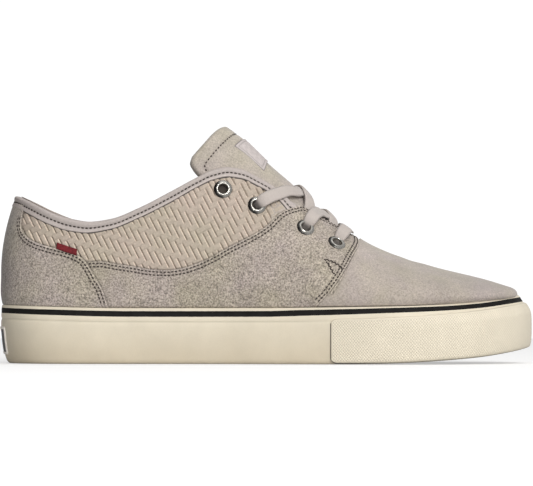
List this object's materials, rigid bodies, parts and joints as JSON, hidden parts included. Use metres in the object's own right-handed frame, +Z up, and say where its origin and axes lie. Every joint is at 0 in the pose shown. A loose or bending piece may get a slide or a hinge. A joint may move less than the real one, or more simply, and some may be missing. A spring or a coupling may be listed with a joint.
{
  "type": "skateboarding shoe",
  "caption": "Low suede skateboarding shoe, right foot, with a tall cream rubber sidewall, embossed quarter panel, padded collar and flat laces.",
  "frame": {"origin": "Centre of the footprint on the floor that the sole stands on.", "axes": "+X runs from heel to toe, +Z is up, -Y is the lateral (outer) side and +Y the medial side of this right shoe."},
  "size_m": [0.2982, 0.1078, 0.1333],
  "materials": {
    "outsole": "matt",
    "foxing": "satin",
    "toe_bumper": "textured",
    "heel_label": "matt",
    "upper": "suede",
    "tongue": "suede",
    "insole": "knitted",
    "lace": "woven",
    "eyelet": "satin",
    "side_tag": "woven"
  },
  "bodies": {
    "root": {"outsole": "outsole", "foxing": "foxing", "toe_bumper": "toe_bumper", "heel_label": "heel_label", "upper": "upper", "tongue": "tongue", "insole": "insole", "lace_bar": "lace", "lace_cross_1": "lace", "lace_cross_2": "lace", "eyelet_lateral_1": "eyelet", "eyelet_lateral_2": "eyelet", "eyelet_lateral_3": "eyelet", "eyelet_lateral_4": "eyelet", "eyelet_medial_1": "eyelet", "eyelet_medial_2": "eyelet", "eyelet_medial_3": "eyelet", "eyelet_medial_4": "eyelet", "side_tag": "side_tag"}
  },
  "joints": []
}
